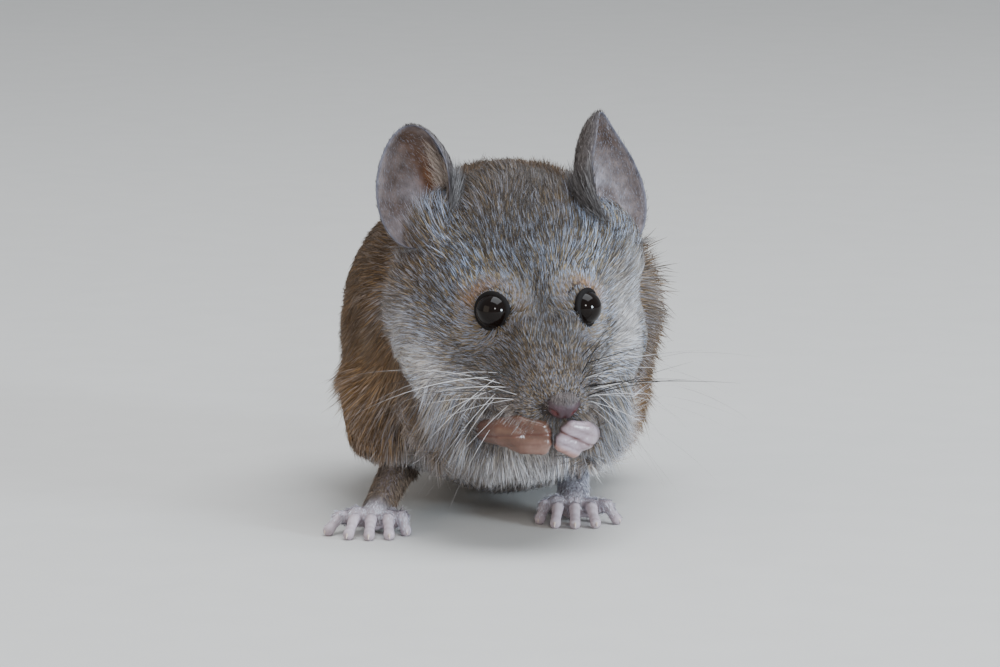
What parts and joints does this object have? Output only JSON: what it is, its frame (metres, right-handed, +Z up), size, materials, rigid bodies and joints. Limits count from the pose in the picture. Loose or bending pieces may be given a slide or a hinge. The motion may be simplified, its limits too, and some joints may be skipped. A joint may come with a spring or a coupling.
{
  "type": "house mouse",
  "caption": "Still life-size house mouse crouched on its haunches, head low, forepaws held to its mouth, tail laid out behind.",
  "frame": {"origin": "on the floor, at the bottom centre of the whole animal's box, tail included", "axes": "+Z up, the mouse looks along -Y, its left side is at +X"},
  "size_m": [0.0324, 0.1292, 0.0377],
  "materials": {
    "grey_brown_coat": "short agouti fur, grey-brown above and pale grey below",
    "pale_leg_coat": "very short pale fur",
    "ear_skin": "thin skin with fine down, matt",
    "eye_black": "wet black, mirror smooth",
    "nose_skin": "damp mauve-grey skin, finely pebbled",
    "paw_skin": "pink skin with short white hairs",
    "tail_skin": "ringed scaly skin with sparse hairs"
  },
  "bodies": {
    "root": {"head": "grey_brown_coat", "neck": "grey_brown_coat", "trunk": "grey_brown_coat", "hindleg_left": "grey_brown_coat", "hindleg_right": "grey_brown_coat", "foreleg_left": "pale_leg_coat", "foreleg_right": "pale_leg_coat", "ear_left": "ear_skin", "ear_right": "ear_skin", "eye_left": "eye_black", "eye_right": "eye_black", "nose": "nose_skin", "forepaw_left": "paw_skin", "forepaw_right": "paw_skin", "hindfoot_left": "paw_skin", "hindfoot_right": "paw_skin", "tail_base": "tail_skin", "tail_middle": "tail_skin", "tail_tip": "tail_skin"}
  },
  "joints": []
}
